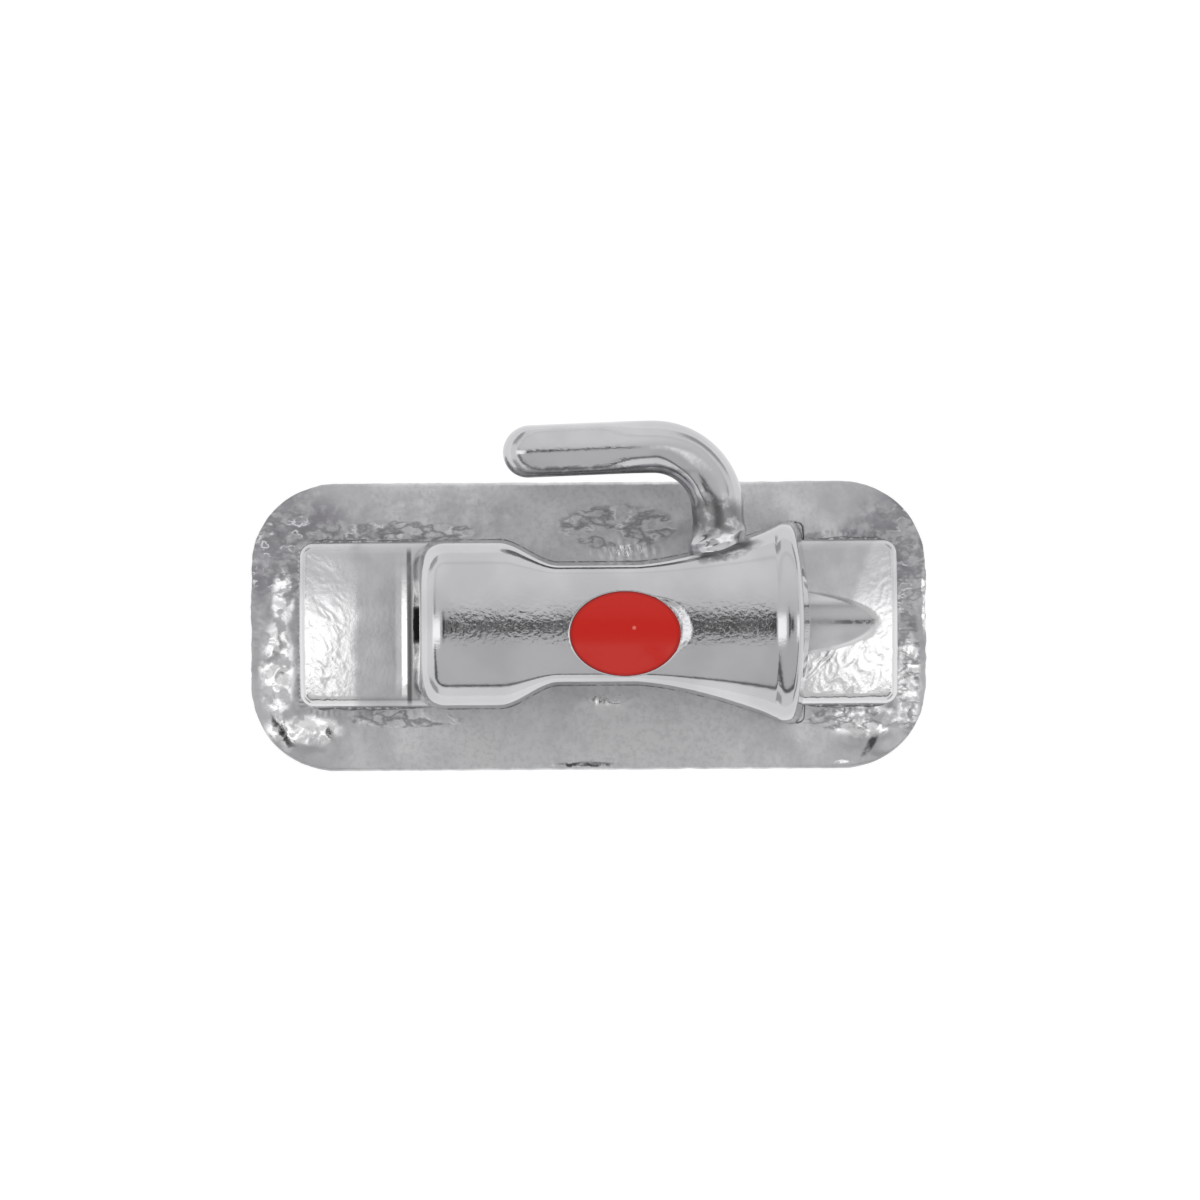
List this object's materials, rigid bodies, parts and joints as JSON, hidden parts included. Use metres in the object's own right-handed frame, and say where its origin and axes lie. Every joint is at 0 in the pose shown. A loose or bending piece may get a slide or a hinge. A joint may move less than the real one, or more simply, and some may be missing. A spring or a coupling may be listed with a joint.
{
  "type": "buccal tube",
  "caption": "Weldable molar buccal tube: contoured weld pad, moulded slot tube with flared mouth, end feet and hook, and an oval enamel mark.",
  "frame": {"origin": "middle of the weld pad's tooth side, on its flat land", "axes": "+X along the wire slot towards the funnel mouth (mesial), +Y towards the hook (gingival), +Z away from the tooth"},
  "size_m": [0.007, 0.0036, 0.0021],
  "materials": {
    "stamped_steel": "thin stamped stainless sheet, bright and slightly crinkled",
    "moulded_steel": "tumbled bright stainless steel",
    "red_enamel": "glossy red fill"
  },
  "bodies": {
    "root": {"base_pad": "stamped_steel", "tube_body": "moulded_steel", "id_mark": "red_enamel"}
  },
  "joints": []
}
